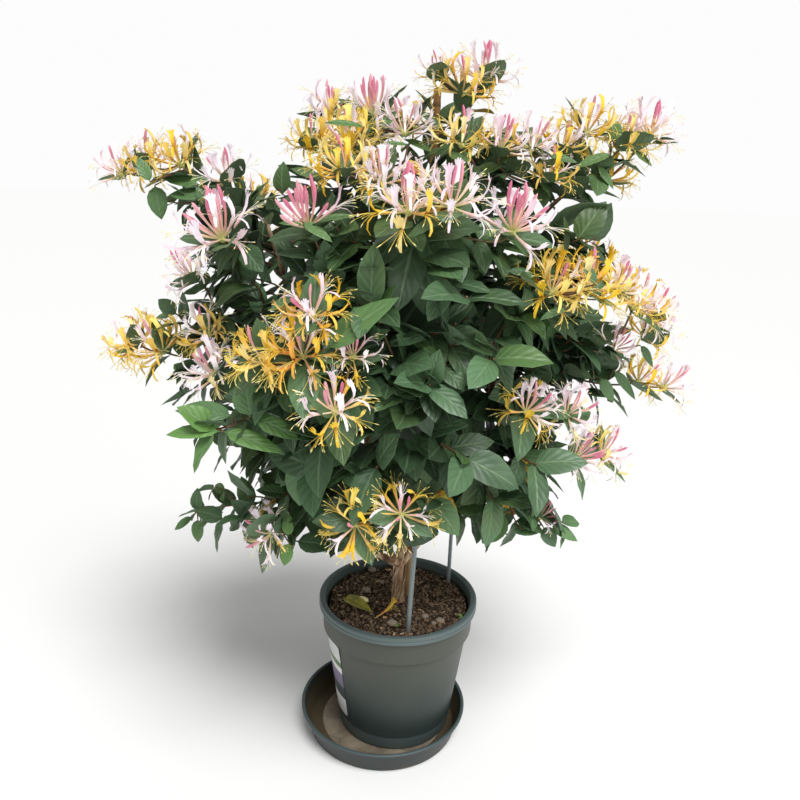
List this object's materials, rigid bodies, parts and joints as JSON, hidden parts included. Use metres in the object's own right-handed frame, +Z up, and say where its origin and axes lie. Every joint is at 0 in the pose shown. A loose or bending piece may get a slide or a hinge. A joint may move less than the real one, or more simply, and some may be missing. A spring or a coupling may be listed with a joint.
{
  "type": "potted honeysuckle vine",
  "caption": "Flowering honeysuckle vine trained on a cane and thin stakes, growing in a round plastic pot that stands on a saucer.",
  "frame": {"origin": "on the pot's axis, in the plane of the saucer's flat underside, where it stands", "axes": "+Z up; -Y is the front, with the fuller face of the plant; +X to the right seen from the front"},
  "size_m": [0.9396, 0.621, 1.1133],
  "materials": {
    "pot_plastic": "satin",
    "label": "matte",
    "soil": "matte",
    "stone": "matte",
    "bamboo": "satin",
    "coated_steel": "satin",
    "bark": "matte",
    "foliage": "satin",
    "fallen_leaf": "satin",
    "petals_gold": "matte",
    "petals_orange": "matte",
    "petals_blush": "matte",
    "petals_rose": "matte"
  },
  "bodies": {
    "root": {"saucer": "pot_plastic", "pot": "pot_plastic", "label": "label", "soil": "soil", "trunk": "bark", "bamboo_cane": "bamboo", "stake_front": "coated_steel", "stake_back": "coated_steel", "bloom_far_left": "petals_gold", "bloom_left_white": "petals_blush", "bloom_left_rose": "petals_blush", "bloom_left_gold": "petals_gold", "bloom_left_small": "petals_blush", "bloom_left_mixed": "petals_blush", "bloom_front_gold": "petals_gold", "bloom_front_orange": "petals_orange", "bloom_front_white": "petals_blush", "bloom_front_rose": "petals_rose", "bloom_low_left": "petals_blush", "bloom_low_front": "petals_gold", "bloom_top_left": "petals_gold", "bloom_top_middle": "petals_blush", "bloom_top_front": "petals_blush", "bloom_top": "petals_gold", "bloom_top_low": "petals_gold", "bloom_front_top": "petals_gold", "bloom_right_rose": "petals_rose", "bloom_right_top_near": "petals_blush", "bloom_right_top_middle": "petals_gold", "bloom_far_right_top": "petals_blush", "bloom_right_gold": "petals_gold", "bloom_right_mixed": "petals_gold", "bloom_far_right": "petals_blush", "bloom_right_front": "petals_gold", "bloom_right_bottom": "petals_blush", "bloom_low_right": "petals_blush", "bloom_back_left_top": "petals_gold", "bloom_back_left": "petals_blush", "bloom_back_top": "petals_gold", "bloom_back_middle": "petals_rose", "bloom_back_right": "petals_gold", "bloom_back_right_low": "petals_blush", "bloom_back_left_low": "petals_gold", "branch_upper_left": "foliage", "branch_left": "foliage", "branch_front_left": "foliage", "branch_low_left": "foliage", "branch_low_front": "foliage", "branch_front_middle": "foliage", "branch_top_left": "foliage", "branch_top": "foliage", "branch_front_top": "foliage", "branch_top_right": "foliage", "branch_right_middle": "foliage", "branch_right_low": "foliage", "branch_low_right": "foliage", "branch_back_left": "foliage", "branch_back_right": "foliage", "pebble": "stone", "fallen_leaf": "fallen_leaf"}
  },
  "joints": []
}
